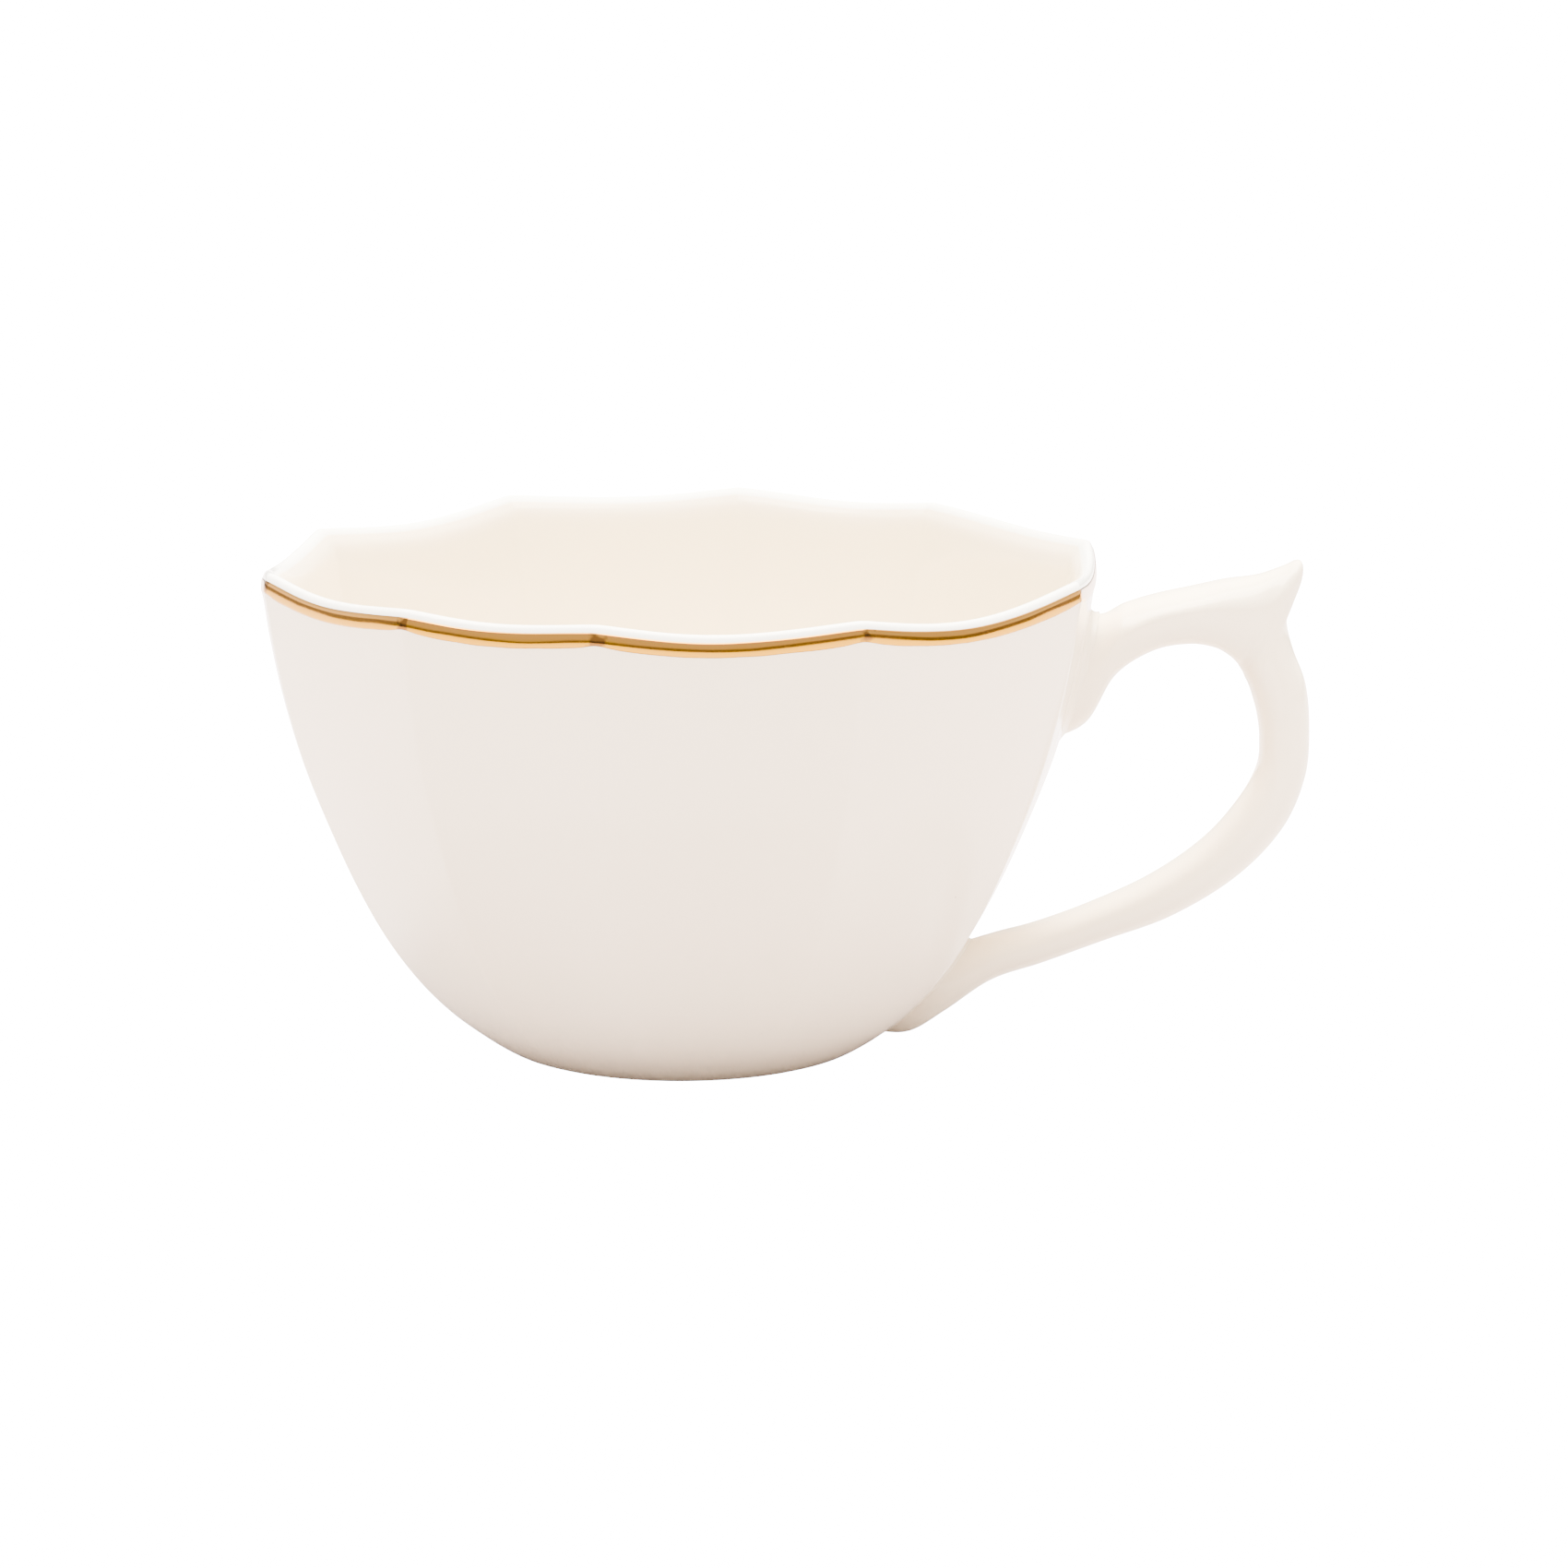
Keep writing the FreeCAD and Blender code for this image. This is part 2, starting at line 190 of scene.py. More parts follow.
# --------------------------------------------------------------------- bowl
ROUND = 900                       # steps round the cup
OUTSIDE_RINGS, LIP_RINGS, INSIDE_RINGS = 150, 20, 90

# How thick the glaze lies is stored on the meshes. It is thinnest over the lip
# and thickest inside, where it reaches its full depth POOL_RINGS rings further down.
GLAZE_DEPTH = "glaze_depth"
LIP_DEPTH, OUTER_DEPTH, HANDLE_DEPTH = 0.0, 0.5, 0.62
BELOW_LIP_DEPTH, POOL_DEPTH, POOL_RINGS = 0.6, 1.0, 12.0


def azimuths():
    return [360.0 * step / ROUND for step in range(ROUND)]


def arch(up, over, reach, count):
    """Points between two edges of a section that both rise to it, bridged by one smooth arch."""
    poles = []
    for below, top in (up, over):
        length = math.dist(below, top)
        poles.append(top)
        poles.append(tuple(t + (t - b) / length * reach for b, t in zip(below, top)))
    start, lift_out, end, lift_in = poles
    points = []
    for step in range(1, count):
        u = step / count
        weights = ((1 - u) ** 3, 3 * u * (1 - u) ** 2, 3 * u * u * (1 - u), u ** 3)
        points.append(tuple(sum(w * p[axis] for w, p in zip(weights, (start, lift_out, lift_in, end)))
                            for axis in (0, 1)))
    return points


def wall_profile():
    """Section from under the foot, up the outside, over the lip and in; where its lip is."""
    outside = curve_through(OUTER, OUTSIDE_RINGS)
    inside = curve_through(INNER, INSIDE_RINGS)[::-1]
    reach = 4.0 / 3.0 * LIP_RISE      # a cubic arch rises by three quarters of its poles' reach
    lip = arch(outside[-2:], inside[1::-1], reach, LIP_RINGS)
    before_lip = len(UNDERSIDE) + len(outside)
    return UNDERSIDE + outside + lip + inside + FLOOR, (before_lip, before_lip + len(lip))


def make_bowl():
    profile, (lip_start, lip_end) = wall_profile()
    points = []
    depths = []
    for ring, (radius, height) in enumerate(profile):
        if ring > lip_end:
            depth = mix(BELOW_LIP_DEPTH, POOL_DEPTH, blend((ring - lip_end) / POOL_RINGS))
        else:
            depth = OUTER_DEPTH if ring < lip_start - 1 else LIP_DEPTH
        depths += [depth] * ROUND
        points += [on_wall(azimuth, radius, height) for azimuth in azimuths()]
    faces = grid_faces(len(profile), ROUND)
    bottom, top = len(points), len(points) + 1
    points += [Vector((0, 0, FOOT_HOLLOW)), Vector((0, 0, FLOOR_HEIGHT))]
    last = (len(profile) - 1) * ROUND
    for column in range(ROUND):
        after = (column + 1) % ROUND
        faces.append((bottom, after, column))
        faces.append((top, last + column, last + after))
    item = new_mesh("porcelain_bowl", points, faces)
    give_attribute(item, GLAZE_DEPTH, depths + [OUTER_DEPTH, POOL_DEPTH])
    return item


# ---------------------------------------------------------------- gold line
GOLD_HEIGHT = 1.75
GOLD_GAP = 0.04                   # glaze that shows between the line and the lip
GOLD_ROWS = 14
RIDGE_REACH = 0.06                # reach of a ridge's marks, as a share of a lobe
PINCH = 0.28                      # how much narrower the line is at a ridge

# How often and how far, in mm, the brush wavered: along the line's two edges,
# and in the way the gilding leans over its height.
LOWER_EDGE, UPPER_EDGE = ((3.1, 0.12), (17.0, 0.05)), ((6.3, 0.05),)
TILT = ((4.3, 0.08), (13.0, 0.025))
UPPER_START, TILT_START = Vector((4.0, 1.0, 2.0)), 0.5

# How far the gilding stands off the wall at its edges, how much more between
# them, how square its section is, and how far inside the wall its back lies.
GOLD_THIN, GOLD_THICK, GOLD_SQUARE, GOLD_BACK = 0.02, 0.05, 8, 0.12
GOLD_LOOKUP = 400                 # steps of the section that its radius is read from


def by_ridge(azimuth):
    """1 on a ridge, falling to 0 a little way to either side."""
    _, _, across = lobe(azimuth)
    return math.exp(-(min(across, 1.0 - across) / RIDGE_REACH) ** 2)


def waver(azimuth, waves, level=0.0, start=Vector()):
    """Unevenness of the brushwork at an azimuth: the sum of its (how often, how far) waves."""
    turn = math.radians(azimuth)
    place = Vector((math.cos(turn), math.sin(turn), level))
    return sum(noise.noise(place * often + start) * far for often, far in waves)


def gold_edges(azimuth):
    """Heights, on the ridge section, of the brushed line's lower and upper edges."""
    low = RIM_HEIGHT - GOLD_HEIGHT + waver(azimuth, LOWER_EDGE) + PINCH * by_ridge(azimuth)
    return low, RIM_HEIGHT - GOLD_GAP + waver(azimuth, UPPER_EDGE, start=UPPER_START)


def make_gold():
    """A thin closed band lying on the wall, thinner towards both edges."""
    outside = curve_through(OUTER, GOLD_LOOKUP)

    def radius_at(height):
        for (r0, z0), (r1, z1) in zip(outside, outside[1:]):
            if z0 <= height <= z1:
                return mix(r0, r1, (height - z0) / max(z1 - z0, 1e-9))
        return outside[-1][0]

    rings = [[] for _ in range(2 * GOLD_ROWS)]
    for azimuth in azimuths():
        low, high = gold_edges(azimuth)
        tilt = waver(azimuth, TILT, TILT_START)
        for step in range(GOLD_ROWS):
            part = step / (GOLD_ROWS - 1)
            height = mix(low, high, part)
            base = radius_at(height)
            edge = 1.0 - abs(2.0 * part - 1.0) ** GOLD_SQUARE
            lift = GOLD_THIN + (GOLD_THICK + tilt * (part - 0.5)) * edge
            rings[step].append(on_wall(azimuth, base, height, lift))
            rings[-1 - step].append(on_wall(azimuth, base, height, -GOLD_BACK))
    points = [p for ring in rings for p in ring]
    item = new_mesh("gold_line", points, grid_faces(len(rings), ROUND, wrap_rows=True))
    # Nearness to a ridge, stored for the gold's painted shade at the ridges.
    give_attribute(item, "painted_ridge_shade", [by_ridge(azimuth) for azimuth in azimuths()] * len(rings))
    climb = []
    for ring in range(len(rings)):
        climb += [min(ring, len(rings) - 1 - ring) / (GOLD_ROWS - 1)] * ROUND
    give_attribute(item, "climb", climb)
    return item


# ------------------------------------------------------------------- handle
# Stations of the strap: point on the finger side, point on the outside (x, z),
# width, squareness of the outer face, and how much it narrows outward.
STRAP = [
    ((41.2, 35.4), (45.2, 50.8), 10.2, 2.3, 0.0),
    ((46.5, 37.7), (48.6, 50.6), 9.6, 2.5, 0.0),
    ((49.9, 43.5), (51.2, 51.9), 9.4, 4.4, 0.0),
    ((54.2, 46.5), (54.4, 52.9), 9.4, 6.4, 0.0),
    ((58.4, 47.35), (58.9, 53.9), 9.4, 7.0, 0.02),
    ((61.4, 46.9), (62.7, 54.75), 9.3, 7.0, 0.06),
    ((63.1, 45.9), (66.5, 55.3), 9.2, 6.2, 0.12),
    ((63.9, 45.1), (69.5, 56.35), 9.1, 5.0, 0.22),
    ((64.2, 44.7), (71.0, 57.0), 9.0, 4.0, 0.27),
    ((64.5, 44.2), (71.65, 56.5), 9.0, 3.4, 0.3),
    ((64.75, 43.8), (71.6, 54.9), 8.9, 3.0, 0.32),
    ((65.0, 43.2), (70.7, 52.4), 8.8, 2.8, 0.26),
    ((65.4, 42.4), (69.9, 50.0), 8.7, 2.6, 0.14),
    ((65.9, 41.0), (70.7, 46.6), 8.5, 2.4, 0.06),
    ((66.5, 38.8), (72.2, 42.6), 8.3, 2.4, 0.0),
    ((66.85, 36.0), (72.75, 37.6), 8.2, 2.4, 0.0),
    ((66.6, 32.6), (72.4, 31.6), 8.2, 2.4, 0.0),
    ((64.6, 28.7), (69.9, 25.4), 8.2, 2.4, 0.0),
    ((60.6, 24.0), (64.6, 19.6), 8.1, 2.4, 0.0),
    ((54.5, 19.6), (57.0, 14.8), 7.9, 2.4, 0.0),
    ((47.4, 16.2), (48.85, 11.75), 7.6, 2.4, 0.0),
    ((41.1, 13.85), (41.7, 9.1), 7.6, 2.4, 0.0),
    ((37.0, 12.75), (35.7, 7.0), 7.8, 2.3, 0.0),
    ((35.0, 12.2), (30.2, 3.2), 8.1, 2.2, 0.0),
    ((33.2, 11.7), (26.0, 0.75), 8.3, 2.2, 0.0),
    ((30.4, 11.3), (21.4, 0.9), 8.4, 2.2, 0.0),
]

# Squareness of the finger side, when and how far a squarer outer face is crowned
# too, and how far the drawn strap stays inside the solid one.
FINGER_SQUARE = 2.2
CROWN_FROM, CROWN_WITHIN, CROWN_MOST = 2.4, 3.0, 0.4
STRAP_INSET = 0.04
STRAP_RINGS, STRAP_AROUND = 260, 96


def strap_section(station):
    inner_x, inner_z, outer_x, outer_z, width, square, narrow = station
    start, end = Vector((inner_x + LEAN, 0, inner_z)), Vector((outer_x + LEAN, 0, outer_z))
    centre, half = (start + end) / 2, (end - start) / 2
    half.length -= STRAP_INSET
    crown = CROWN_MOST * blend((square - CROWN_FROM) / CROWN_WITHIN)
    points = []
    for step in range(STRAP_AROUND):
        turn = 2.0 * math.pi * (step + 0.5) / STRAP_AROUND
        along, side = math.cos(turn), math.sin(turn)
        power = 2.0 / square if along > 0 else 2.0 / FINGER_SQUARE
        edge = 2.0 / (0.5 * (square + FINGER_SQUARE))
        along = math.copysign(abs(along) ** power, along)
        side = math.copysign(abs(side) ** edge, side)
        along -= crown * side * side * blend(along)
        taper = 1.0 - narrow * blend((along + 1.0) / 2.0)
        points.append(centre + half * along + Vector((0, 0.5 * width * side * taper, 0)))
    return points


def make_handle():
    """The strap, and its sections from the upper root to the lower one."""
    flat = [(a[0], a[1], b[0], b[1], width, square, narrow) for a, b, width, square, narrow in STRAP]
    spaced = [(s[0] + s[2], s[1] + s[3]) + s for s in flat]      # spacing follows the centreline
    rows = [strap_section(s[2:]) for s in curve_through(spaced, STRAP_RINGS)]
    points = [p for row in rows for p in row]
    faces = grid_faces(len(rows), STRAP_AROUND)
    first = list(range(STRAP_AROUND))
    last = list(range(len(points) - STRAP_AROUND, len(points)))
    faces += [tuple(first), tuple(last[::-1])]
    return new_mesh("strap_handle", points, faces), rows


# -------------------------------------------------------------- slip joints
# How many sections of the strap each root takes in, and how far its bead of
# slip spreads on the wall and climbs up the handle.
UPPER_ROOT, UPPER_SPREAD, UPPER_CLIMB = 60, 0.9, 1.1
LOWER_ROOT, LOWER_SPREAD, LOWER_CLIMB = 74, 0.7, 0.9

BEAD_STEPS = 8
BEAD_HOLLOW = 0.12                # how near its hollow face comes to the corner it fills
UNEVEN, UNEVEN_SCALE = 0.35, 0.45
EDGE_SUNK = 0.03                  # depth of its edges in the wall and in the handle
WALL_BURIED, HANDLE_BURIED = 0.35, 0.5                   # depth of its hidden back
TABLE_GAP, TABLE_ROOM, LEAST_SPREAD = 0.1, 2.5, 0.15     # it spreads less near the table
WALL_LOOKUP = 200                 # steps of the wall's section that distances are read from
PUSHES = 3                        # rounds that it takes to bring a point to the wall


def wall_distance(point, outside):
    """How far a point lies outside the wall's outer face, measured level."""
    centre = LEAN * point.z / RIM_HEIGHT
    azimuth = math.degrees(math.atan2(point.y, point.x - centre))
    low, high = 0, len(outside) - 1
    while high - low > 1:
        middle = (low + high) // 2
        if on_wall(azimuth, *outside[middle]).z < point.z:
            low = middle
        else:
            high = middle
    below, above = on_wall(azimuth, *outside[low]), on_wall(azimuth, *outside[high])
    part = (point.z - below.z) / max(above.z - below.z, 1e-6)
    wall = below.lerp(above, max(-1.0, min(1.0, part)))
    return math.hypot(point.x - centre, point.y) - math.hypot(wall.x - centre, wall.y)


def pushed_to_wall(point, outside, depth):
    """The point moved level, towards or from the axis, to `depth` inside the wall's face."""
    centre = Vector((LEAN * point.z / RIM_HEIGHT, 0.0, point.z))
    for _ in range(PUSHES):
        away = (point - centre).normalized()
        point = point - away * (wall_distance(point, outside) + depth)
    return point


def root_crossings(rows, outside):
    """Where the strap's edges come out of the wall, and the way each goes on from there."""
    crossings = []
    for line in zip(*rows):
        gaps = [wall_distance(p, outside) for p in line]
        step = next(i for i in range(1, len(line)) if gaps[i] > 0.0)
        part = gaps[step - 1] / (gaps[step - 1] - gaps[step])
        crossings.append((line[step - 1].lerp(line[step], part), (line[-1] - line[step]).normalized()))
    return crossings


def make_joint(name, rows, spread, climb):
    """A concave bead of slip round one root of the handle.

    `rows` are the handle's sections, from inside the wall outwards; `spread` is how
    far the bead runs out on the wall and `climb` how far it runs up the handle.
    """
    outside = curve_through(OUTER, WALL_LOOKUP)
    crossings = root_crossings(rows, outside)
    centre = sum((point for point, _ in crossings), Vector()) / len(crossings)
    sections = []
    for column, (corner, onward) in enumerate(crossings):
        before, after = crossings[column - 1][0], crossings[(column + 1) % len(crossings)][0]
        wall_normal = Vector((corner.x, corner.y, 0.0)).normalized()
        away = (after - before).cross(wall_normal).normalized()
        if away.dot(corner - centre) < 0.0:
            away = -away
        uneven = 1.0 + UNEVEN * noise.noise(corner * UNEVEN_SCALE)
        room = min(1.0, max(LEAST_SPREAD, (corner.z - TABLE_GAP) / TABLE_ROOM))
        foot = pushed_to_wall(corner + away * spread * uneven * room, outside, EDGE_SUNK)
        head = corner + onward * climb * uneven - away * EDGE_SUNK
        deep_foot = pushed_to_wall(foot, outside, WALL_BURIED)
        deep_head = head - away * HANDLE_BURIED
        deep_corner = pushed_to_wall(corner - away * HANDLE_BURIED, outside, WALL_BURIED)
        bend = corner + (away + onward) * BEAD_HOLLOW
        curve = []
        for step in range(BEAD_STEPS + 1):
            u = step / BEAD_STEPS
            curve.append(head * (1 - u) ** 2 + bend * 2 * u * (1 - u) + foot * u * u)
        sections.append(curve + [deep_foot, deep_corner, deep_head])
    points = [p for section in sections for p in section]
    return new_mesh(name, points, grid_faces(len(sections), len(sections[0]), wrap_rows=True))


bowl = make_bowl()
gold = make_gold()
handle, strap_rows = make_handle()
upper_joint = make_joint("upper_slip", strap_rows[:UPPER_ROOT], UPPER_SPREAD, UPPER_CLIMB)
lower_joint = make_joint("lower_slip", strap_rows[::-1][:LOWER_ROOT], LOWER_SPREAD, LOWER_CLIMB)

# ---------------------------------------------------------------- materials
WHITE, BLACK = (1.0, 1.0, 1.0), (0.0, 0.0, 0.0)
LIP_WHITE, OUTER_IVORY, POOL_IVORY = (0.95, 0.94, 0.86), (0.875, 0.75, 0.575), (0.81, 0.69, 0.48)
IRON_SPECK = (0.30, 0.20, 0.13)
CLAY_DARK, CLAY_LIGHT = (0.62, 0.57, 0.49), (0.80, 0.75, 0.66)
# The third gold colour is painted shade: a dark brown laid on the line near the ridges, in place of
# the darker reflection where the line turns over a ridge.
GOLD_PURE, GOLD_PALE, GOLD_PAINTED_SHADE = (0.50, 0.245, 0.006), (0.52, 0.24, 0.04), (0.2, 0.09, 0.02)

# Scales of the patterns, in features per metre.
GLAZE_DRIFT, GLAZE_RIPPLE, SPECK_CELLS = 28.0, 160.0, 320.0
CLAY_GRAIN, GOLD_DRIFT, GOLD_SHADE_BLOTS = 1400.0, 260.0, 900.0

DRIFT_IN_GLAZE, DRIFT_IN_GOLD = 0.3, 0.4      # how far drift moves a tone along its ramp
SPECK_RARITY = 0.99                           # share of the cells that hold no speck
SPECK_EDGE, SPECK_STRENGTH = (0.035, 0.06), 0.55
# Range of blot strength over which the gold's painted ridge shade sets in.
PAINTED_SHADE_EDGE = (0.36, 0.5)
BARE_WIDTH, BARE_HEIGHT = 0.6, 0.3            # how far in past the ring, and how high, clay is bare


def material(name):
    result = bpy.data.materials.new(name)
    result.use_nodes = True
    tree = result.node_tree
    return result, tree, tree.nodes["Principled BSDF"]


def feed(tree, socket, value):
    """Link an output to a socket, or set the socket to a number or a colour."""
    if isinstance(value, bpy.types.NodeSocket):
        tree.links.new(value, socket)
    else:
        socket.default_value = value + (1.0,) if isinstance(value, tuple) else value


def object_place(tree):
    return tree.nodes.new("ShaderNodeTexCoord").outputs["Object"]


def stored(tree, name):
    """The number that give_attribute stored on the piece."""
    made = tree.nodes.new("ShaderNodeAttribute")
    made.attribute_name = name
    return made.outputs["Fac"]


def noise_field(tree, place, scale, detail=2.0):
    made = tree.nodes.new("ShaderNodeTexNoise")
    made.inputs["Scale"].default_value = scale
    made.inputs["Detail"].default_value = detail
    tree.links.new(place, made.inputs["Vector"])
    return made.outputs["Fac"]


def maths(tree, operation, *values):
    made = tree.nodes.new("ShaderNodeMath")
    made.operation = operation
    for socket, value in zip(made.inputs, values):
        feed(tree, socket, value)
    return made.outputs[0]


def ranged(tree, value, taken, given=(0.0, 1.0), interpolation="LINEAR"):
    """A value's range `taken` laid over the range `given`, and clamped to it."""
    made = tree.nodes.new("ShaderNodeMapRange")
    made.interpolation_type = interpolation
    made.inputs["From Min"].default_value, made.inputs["From Max"].default_value = taken
    made.inputs["To Min"].default_value, made.inputs["To Max"].default_value = given
    tree.links.new(value, made.inputs["Value"])
    return made.outputs[0]


def ramp(tree, value, stops, interpolation="LINEAR"):
    """A colour looked up between (position, colour) stops, given in order."""
    made = tree.nodes.new("ShaderNodeValToRGB")
    made.color_ramp.interpolation = interpolation
    elements = made.color_ramp.elements
    for element, (position, colour) in zip(elements, (stops[0], stops[-1])):
        element.position = position
        element.color = colour + (1.0,)
    for position, colour in stops[1:-1]:
        elements.new(position).color = colour + (1.0,)
    tree.links.new(value, made.inputs["Fac"])
    return made.outputs["Color"]


def mixed(tree, factor, first, second, blend_type="MIX"):
    made = tree.nodes.new("ShaderNodeMix")
    made.data_type = "RGBA"
    made.blend_type = blend_type
    feed(tree, made.inputs["Factor"], factor)
    feed(tree, made.inputs["A"], first)
    feed(tree, made.inputs["B"], second)
    return made.outputs["Result"]


def bump(tree, shader, height, strength, distance):
    made = tree.nodes.new("ShaderNodeBump")
    made.inputs["Strength"].default_value = strength
    made.inputs["Distance"].default_value = distance
    tree.links.new(height, made.inputs["Height"])
    tree.links.new(made.outputs["Normal"], shader.inputs["Normal"])


def glaze_specks(tree, place):
    """A few pin-head iron specks: the middles of rare cells of a fine cell pattern."""
    cells = tree.nodes.new("ShaderNodeTexVoronoi")
    cells.inputs["Scale"].default_value = SPECK_CELLS
    tree.links.new(place, cells.inputs["Vector"])
    shade = tree.nodes.new("ShaderNodeSeparateColor")
    tree.links.new(cells.outputs["Color"], shade.inputs[0])
    rare = maths(tree, "GREATER_THAN", shade.outputs[0], SPECK_RARITY)
    small = ranged(tree, cells.outputs["Distance"], SPECK_EDGE, (SPECK_STRENGTH, 0.0))
    return maths(tree, "MULTIPLY", rare, small)


def glaze(name):
    """Ivory glaze: white on the lip, warmer where it pools, its tone drifting a little."""
    result, tree, shader = material(name)
    place = object_place(tree)
    drift = noise_field(tree, place, GLAZE_DRIFT, detail=3.0)
    uneven = maths(tree, "MULTIPLY_ADD", drift, DRIFT_IN_GLAZE, stored(tree, GLAZE_DEPTH))
    tone = ramp(tree, uneven, ((0.15, LIP_WHITE), (0.6, OUTER_IVORY), (1.0, POOL_IVORY)))
    feed(tree, shader.inputs["Base Color"], mixed(tree, glaze_specks(tree, place), tone, IRON_SPECK))
    bump(tree, shader, noise_field(tree, place, GLAZE_RIPPLE), strength=0.06, distance=0.4 * MM)
    shader.inputs["Roughness"].default_value = 0.08
    shader.inputs["IOR"].default_value = 1.5
    return result


def bare_clay(name):
    """Unglazed porcelain of the foot ring: matt, fine-grained, a little greyer."""
    result, tree, shader = material(name)
    grain = noise_field(tree, object_place(tree), CLAY_GRAIN, detail=3.0)
    tone = ramp(tree, grain, ((0.0, CLAY_DARK), (1.0, CLAY_LIGHT)))
    feed(tree, shader.inputs["Base Color"], tone)
    bump(tree, shader, grain, strength=0.4, distance=0.05 * MM)
    shader.inputs["Roughness"].default_value = 0.7
    return result


def gold_leaf(name):
    """Bright gold, purest where the brush laid it thickest, along its lower edge.

    Its tone drifts, and near the ridges it is painted dark in blotches: painted shade standing in for
    the darker reflection where the line turns over a ridge.
    """
    result, tree, shader = material(name)
    place = object_place(tree)
    drift = noise_field(tree, place, GOLD_DRIFT)
    uneven = maths(tree, "MULTIPLY_ADD", drift, DRIFT_IN_GOLD, stored(tree, "climb"))
    tone = ramp(tree, uneven, ((0.55, GOLD_PURE), (0.85, GOLD_PALE)))
    # Painted shade: blotches near the ridges are turned dark brown, standing in for the darker
    # reflection where the line turns over a ridge.
    shade_blots = noise_field(tree, place, GOLD_SHADE_BLOTS, detail=1.0)
    ridge_shade_strength = maths(tree, "MULTIPLY", stored(tree, "painted_ridge_shade"), shade_blots)
    painted_shade_patches = ramp(tree, ridge_shade_strength, ((PAINTED_SHADE_EDGE[0], BLACK), (PAINTED_SHADE_EDGE[1], WHITE)))
    feed(tree, shader.inputs["Base Color"], mixed(tree, painted_shade_patches, tone, GOLD_PAINTED_SHADE))
    shader.inputs["Metallic"].default_value = 1.0
    shader.inputs["Roughness"].default_value = 0.1
    return result


porcelain = glaze("ivory_glaze")
for piece in (bowl, handle, upper_joint, lower_joint):
    piece.data.materials.append(porcelain)
for piece in (handle, upper_joint, lower_joint):
    give_attribute(piece, GLAZE_DEPTH, [HANDLE_DEPTH] * len(piece.data.vertices))
bowl.data.materials.append(bare_clay("bare_porcelain"))
for face in bowl.data.polygons:
    middle = face.center / MM
    if middle.z < BARE_HEIGHT and math.hypot(middle.x, middle.y) > FOOT_INNER - BARE_WIDTH:
        face.material_index = 1
gold.data.materials.append(gold_leaf("bright_gold"))

for piece, slot_name, replaced in (
        (bowl, "porcelain", ("cup_body",)),
        (gold, "gilding", ("rim_gilding",)),
        (handle, "handle_porcelain", ("handle",)),
        (upper_joint, "joint_slip", ("upper_joint",)),
        (lower_joint, "joint_slip", ("lower_joint",))):
    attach(piece, "root")
    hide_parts(*replaced)

# ------------------------------------------------------- floor, light, camera
TABLE = 650.0                     # from the cup to each edge of the table
PAPER = (0.52, 0.472, 0.484)
PAPER_GLOW, ROOM_GLOW = 19.0, 24.0
WARM = (1.0, 0.95, 0.88)
BELOW_TABLE, WALLS, CEILING = 0.35, 1.8, 8.0
BACKDROP = 2.4                    # how many times brighter than the other walls
BACKDROP_SIDES = (-0.15, 0.55)    # how far towards +Y it begins, and is at its brightest
BACKDROP_TOP = 0.5                # how far up it has faded out


def white_to_camera(tree, surface, output, strength):
    """Adds plain white light to what the camera sees directly, and to nothing else."""
    path = tree.nodes.new("ShaderNodeLightPath")
    glow = tree.nodes.new("ShaderNodeEmission")
    feed(tree, glow.inputs["Color"], WHITE)
    strong = maths(tree, "MULTIPLY", path.outputs["Is Camera Ray"], strength)
    feed(tree, glow.inputs["Strength"], strong)
    both = tree.nodes.new("ShaderNodeAddShader")
    tree.links.new(surface, both.inputs[0])
    tree.links.new(glow.outputs[0], both.inputs[1])
    tree.links.new(both.outputs[0], output.inputs["Surface"])


corners = [Vector((x * TABLE, y * TABLE, 0)) for x, y in ((-1, -1), (1, -1), (1, 1), (-1, 1))]
floor = new_mesh("studio_floor", corners, [(0, 1, 2, 3)], smooth=False)
paper, paper_tree, paper_shader = material("white_sweep")
feed(paper_tree, paper_shader.inputs["Base Color"], PAPER)
paper_shader.inputs["Roughness"].default_value = 1.0
paper_shader.inputs["Specular IOR Level"].default_value = 0.0
white_to_camera(paper_tree, paper_shader.outputs[0], paper_tree.nodes["Material Output"], PAPER_GLOW)
floor.data.materials.append(paper)


def warm(radiance):
    """A warm light's colour, as a share of the ceiling's."""
    return tuple(channel * radiance / CEILING for channel in WARM)


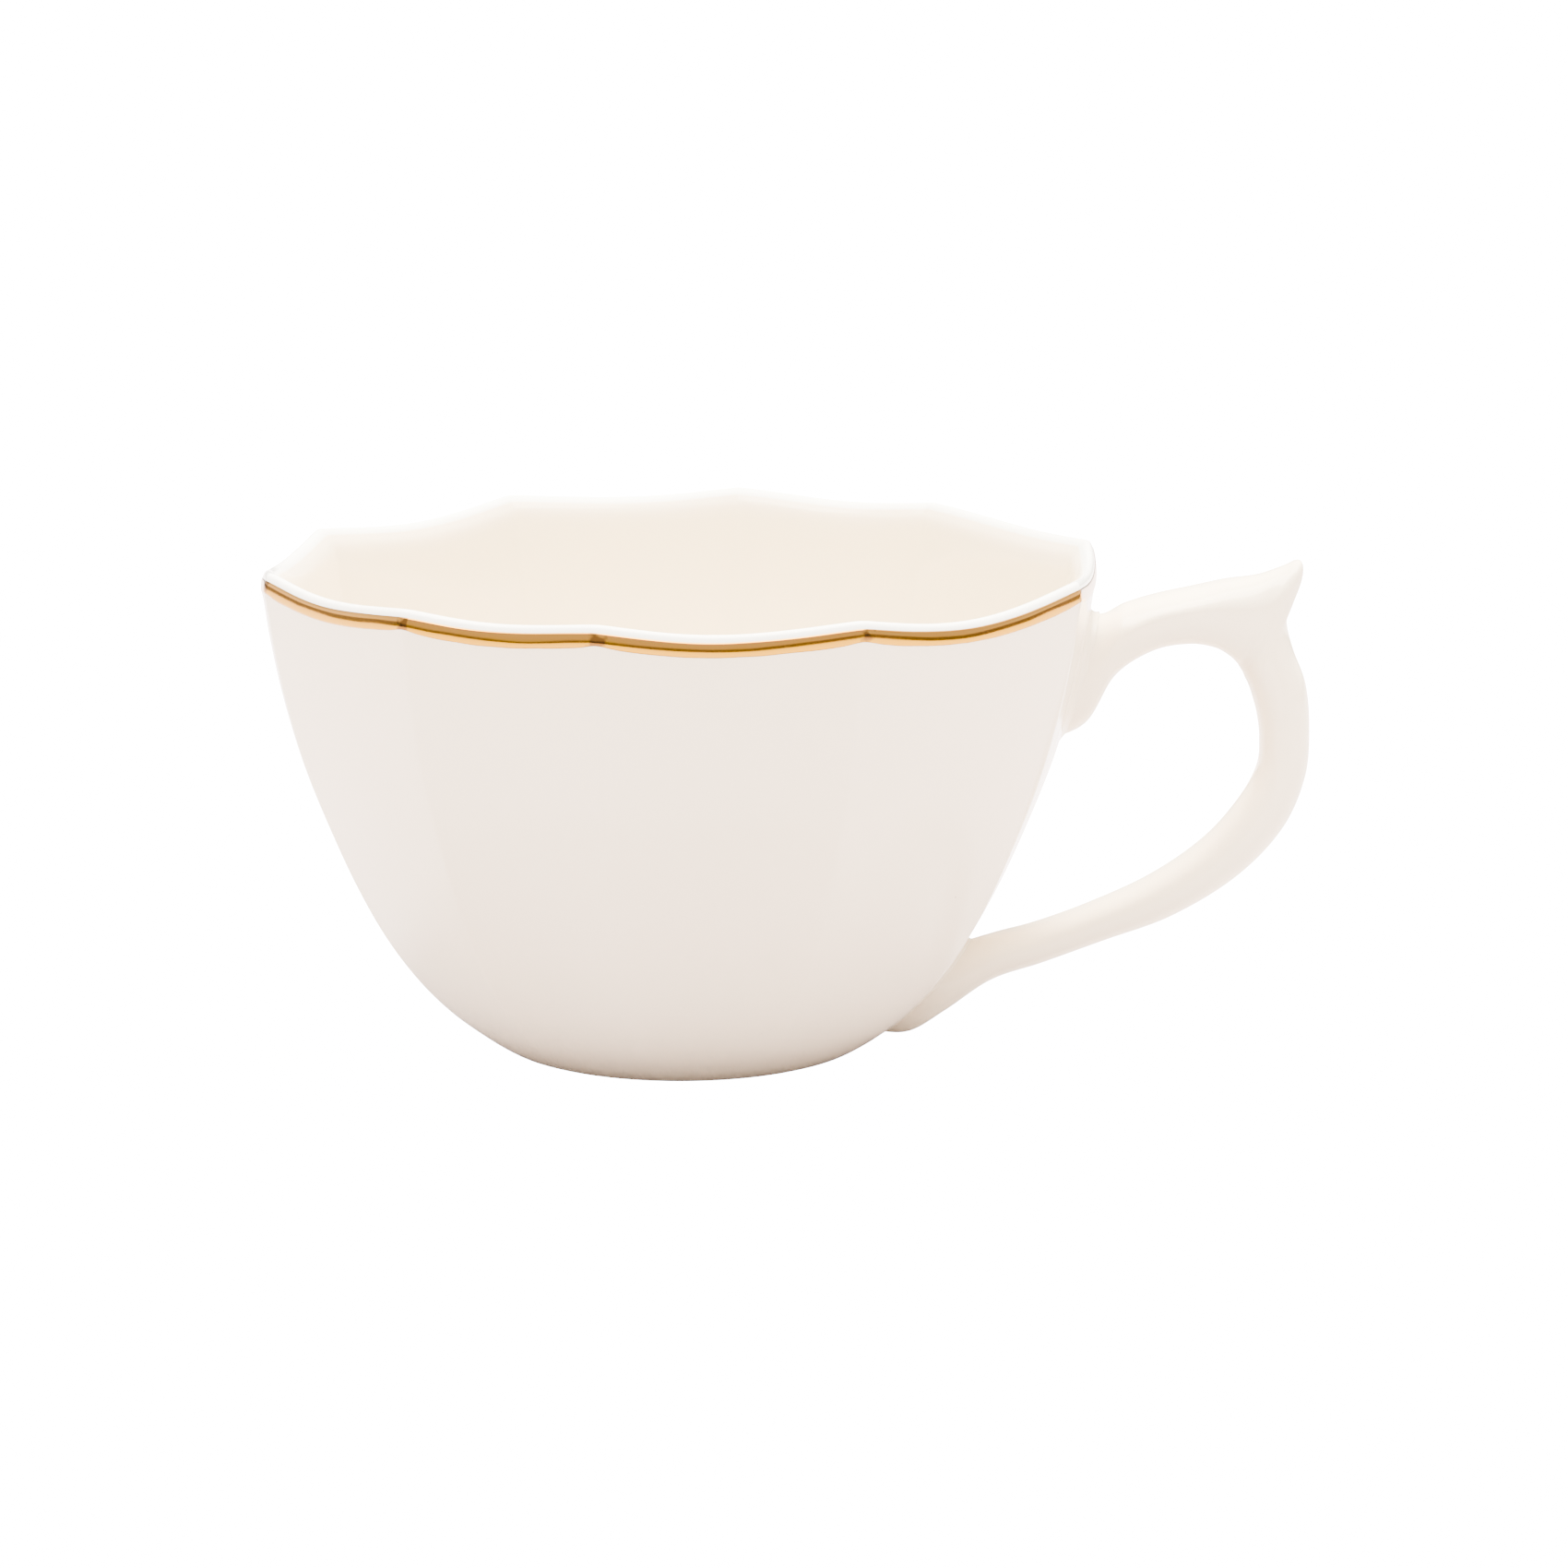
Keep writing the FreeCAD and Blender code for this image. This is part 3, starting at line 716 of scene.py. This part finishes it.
# The room: darkest below the table's edge, dim walls, a brighter backdrop behind
# the cup, and a wide ceiling of light.
world = bpy.data.worlds.new("studio")
bpy.context.scene.world = world
world.use_nodes = True
room = world.node_tree
sky = room.nodes["Background"]
axes = room.nodes.new("ShaderNodeSeparateXYZ")
feed(room, axes.inputs[0], room.nodes.new("ShaderNodeTexCoord").outputs["Generated"])
storeys = ramp(room, axes.outputs["Z"], (
    (0.0, warm(BELOW_TABLE)), (0.05, warm(WALLS)), (0.45, warm(WALLS)), (0.95, WARM)), "EASE")
behind = ranged(room, axes.outputs["Y"], BACKDROP_SIDES, interpolation="SMOOTHSTEP")
level = ranged(room, axes.outputs["Z"], (BACKDROP_TOP, 0.0))
low_behind = maths(room, "MULTIPLY", behind, level)
backdrop = mixed(room, low_behind, storeys, (BACKDROP, BACKDROP, BACKDROP), "MULTIPLY")
feed(room, sky.inputs["Color"], backdrop)
sky.inputs["Strength"].default_value = CEILING
white_to_camera(room, sky.outputs[0], room.nodes["World Output"], ROOM_GLOW)

CUP_MIDDLE = Vector((0.0, 0.0, 0.03))


def softbox(name, place, width, height, radiance):
    """A soft rectangular light, aimed at the cup's middle."""
    lamp = bpy.data.lights.new(name, "AREA")
    lamp.shape = "RECTANGLE"
    lamp.size, lamp.size_y = width, height
    lamp.energy = radiance * math.pi * width * height
    lamp.color = WARM
    item = bpy.data.objects.new(name, lamp)
    item.location = place
    item.rotation_euler = (CUP_MIDDLE - Vector(place)).to_track_quat("-Z", "Y").to_euler()
    bpy.context.scene.collection.objects.link(item)
    return item


# The back light is kept out of reflections, so it leaves no hard highlight on the handle.
back_box = softbox("back_box", (0.10, 0.5, 1.0), width=0.28, height=0.28, radiance=415.0)
back_box.visible_glossy = False
softbox("top_box", (0.0, -0.2, 1.15), width=1.6, height=0.7, radiance=26.0)

ELEVATION = math.radians(12.01)
DISTANCE = 0.7
LENS, SENSOR = 137.7, 36.0
aim = Vector((0.01189, 0.0, 0.0304))
camera = bpy.data.objects.new("camera", bpy.data.cameras.new("camera"))
camera.data.sensor_width = SENSOR
camera.data.lens = LENS
camera.location = aim + Vector((0, -math.cos(ELEVATION), math.sin(ELEVATION))) * DISTANCE
camera.rotation_euler = (math.pi / 2 - ELEVATION, 0, 0)
bpy.context.scene.collection.objects.link(camera)
bpy.context.scene.camera = camera
